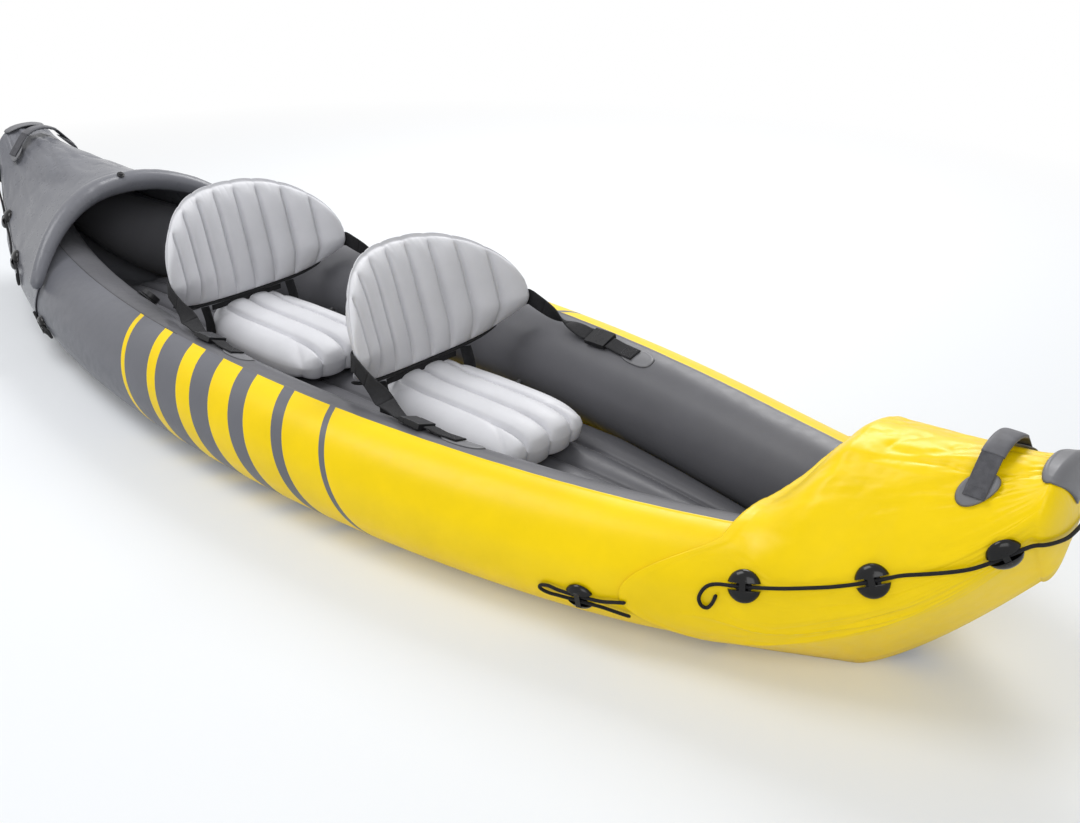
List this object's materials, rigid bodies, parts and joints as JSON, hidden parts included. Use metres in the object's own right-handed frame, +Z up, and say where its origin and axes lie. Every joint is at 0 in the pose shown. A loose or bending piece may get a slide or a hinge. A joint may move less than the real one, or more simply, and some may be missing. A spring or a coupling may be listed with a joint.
{
  "type": "inflatable tandem kayak",
  "caption": "Open inflatable kayak with tapered side air chambers, a ribbed floor mat, pointed covered ends, strapped inflatable seats with folding backrests, grab lines and carrying handles.",
  "frame": {"origin": "on the ground under the middle of the hull", "axes": "+X towards the bow, +Y to port, +Z up"},
  "size_m": [3.1279, 0.908, 0.4502],
  "materials": {
    "hull_vinyl": "smooth coated vinyl, yellow amidships and grey aft",
    "inner_vinyl": "smooth coated vinyl",
    "yellow_cover": "coated vinyl, lightly wrinkled",
    "grey_cover": "coated vinyl, lightly wrinkled",
    "grey_patch": "welded vinyl patch",
    "hook_plastic": "polished moulding",
    "buckle_plastic": "fine moulded grain",
    "webbing": "woven webbing",
    "rope": "braided cord",
    "seat_fabric": "light grey quilted vinyl-coated cloth",
    "wear_rubber": "matt wear strip",
    "valve_plastic": "moulded"
  },
  "bodies": {
    "hull": {"port_side_chamber": "hull_vinyl", "starboard_side_chamber": "hull_vinyl", "floor_mat": "inner_vinyl", "bottom_sheet": "hull_vinyl", "bow_cover": "yellow_cover", "stern_cover": "grey_cover", "splash_arch": "grey_cover", "splash_arch_valve": "valve_plastic", "bow_nose_patch": "grey_patch", "stern_nose_patch": "grey_patch", "keel_strip": "wear_rubber", "bow_handle_tabs": "grey_patch", "bow_handle_straps": "webbing", "stern_handle_tabs": "grey_patch", "stern_handle_straps": "webbing", "bow_line_hooks": "hook_plastic", "stern_line_hooks": "hook_plastic", "bow_grab_line": "rope", "stern_grab_line": "rope", "bow_hem_cords": "rope", "stern_hem_cords": "rope", "port_valve_seat": "valve_plastic", "starboard_valve_seat": "valve_plastic", "floor_valve_seat": "valve_plastic", "valve_flaps": "wear_rubber", "front_seat_straps": "webbing", "front_strap_anchors": "inner_vinyl", "front_buckle_sockets": "buckle_plastic", "rear_seat_straps": "webbing", "rear_strap_anchors": "inner_vinyl", "rear_buckle_sockets": "buckle_plastic"},
    "front_seat": {"front_cushion": "seat_fabric", "front_hinge_band": "webbing", "front_tie_straps": "webbing", "front_cushion_valve": "valve_plastic"},
    "front_back": {"front_backrest": "seat_fabric", "front_hinge_piping": "webbing", "front_back_band": "webbing", "front_back_valve": "valve_plastic"},
    "front_port_buckle": {"front_port_plug": "buckle_plastic"},
    "front_starboard_buckle": {"front_starboard_plug": "buckle_plastic"},
    "rear_seat": {"rear_cushion": "seat_fabric", "rear_hinge_band": "webbing", "rear_tie_straps": "webbing", "rear_cushion_valve": "valve_plastic"},
    "rear_back": {"rear_backrest": "seat_fabric", "rear_hinge_piping": "webbing", "rear_back_band": "webbing", "rear_back_valve": "valve_plastic"},
    "rear_port_buckle": {"rear_port_plug": "buckle_plastic"},
    "rear_starboard_buckle": {"rear_starboard_plug": "buckle_plastic"},
    "bow_handle": {"bow_handle_grip": "grey_patch"},
    "stern_handle": {"stern_handle_grip": "grey_patch"},
    "port_cap": {"port_valve_cap": "valve_plastic"},
    "starboard_cap": {"starboard_valve_cap": "valve_plastic"},
    "floor_cap": {"floor_valve_cap": "valve_plastic"}
  },
  "joints": [
    {"name": "front_seat_slide", "type": "slide", "parent": "hull", "child": "front_seat", "axis": [1, 0, 0], "range_m": [-0.04, 0.05], "deforming": ["front_seat_straps"]},
    {"name": "front_back_fold", "type": "hinge", "parent": "front_seat", "child": "front_back", "pos_m": [0.16, 0, 0.182], "axis": [0, 1, 0], "range_deg": [-16, 32], "deforming": ["front_seat_straps"]},
    {"name": "front_port_buckle_release", "type": "slide", "parent": "hull", "child": "front_port_buckle", "axis": [-1, 0, 0], "range_m": [0, 0.032], "deforming": ["front_seat_straps"]},
    {"name": "front_starboard_buckle_release", "type": "slide", "parent": "hull", "child": "front_starboard_buckle", "axis": [-1, 0, 0], "range_m": [0, 0.032], "deforming": ["front_seat_straps"]},
    {"name": "rear_seat_slide", "type": "slide", "parent": "hull", "child": "rear_seat", "axis": [1, 0, 0], "range_m": [-0.04, 0.05], "deforming": ["rear_seat_straps"]},
    {"name": "rear_back_fold", "type": "hinge", "parent": "rear_seat", "child": "rear_back", "pos_m": [-0.482, 0, 0.182], "axis": [0, 1, 0], "range_deg": [-20, 24], "deforming": ["rear_seat_straps"]},
    {"name": "rear_port_buckle_release", "type": "slide", "parent": "hull", "child": "rear_port_buckle", "axis": [-1, 0, 0], "range_m": [0, 0.032], "deforming": ["rear_seat_straps"]},
    {"name": "rear_starboard_buckle_release", "type": "slide", "parent": "hull", "child": "rear_starboard_buckle", "axis": [-1, 0, 0], "range_m": [0, 0.032], "deforming": ["rear_seat_straps"]},
    {"name": "bow_handle_lift", "type": "slide", "parent": "hull", "child": "bow_handle", "axis": [0, 0, 1], "range_m": [-0.004, 0.02], "deforming": ["bow_handle_straps"]},
    {"name": "stern_handle_lift", "type": "slide", "parent": "hull", "child": "stern_handle", "axis": [0, 0, 1], "range_m": [-0.004, 0.02], "deforming": ["stern_handle_straps"]},
    {"name": "port_cap_turn", "type": "hinge", "parent": "hull", "child": "port_cap", "pos_m": [-0.60992, 0.20131, 0.18787], "axis": [0.128, -0.7815, 0.6106], "range_deg": [0, 270]},
    {"name": "starboard_cap_turn", "type": "hinge", "parent": "hull", "child": "starboard_cap", "pos_m": [-0.60992, -0.20131, 0.18787], "axis": [0.128, 0.7815, 0.6106], "range_deg": [0, 270]},
    {"name": "floor_cap_turn", "type": "hinge", "parent": "hull", "child": "floor_cap", "pos_m": [-0.76, 0, 0.0696], "axis": [0, 0, 1], "range_deg": [0, 270]}
  ]
}
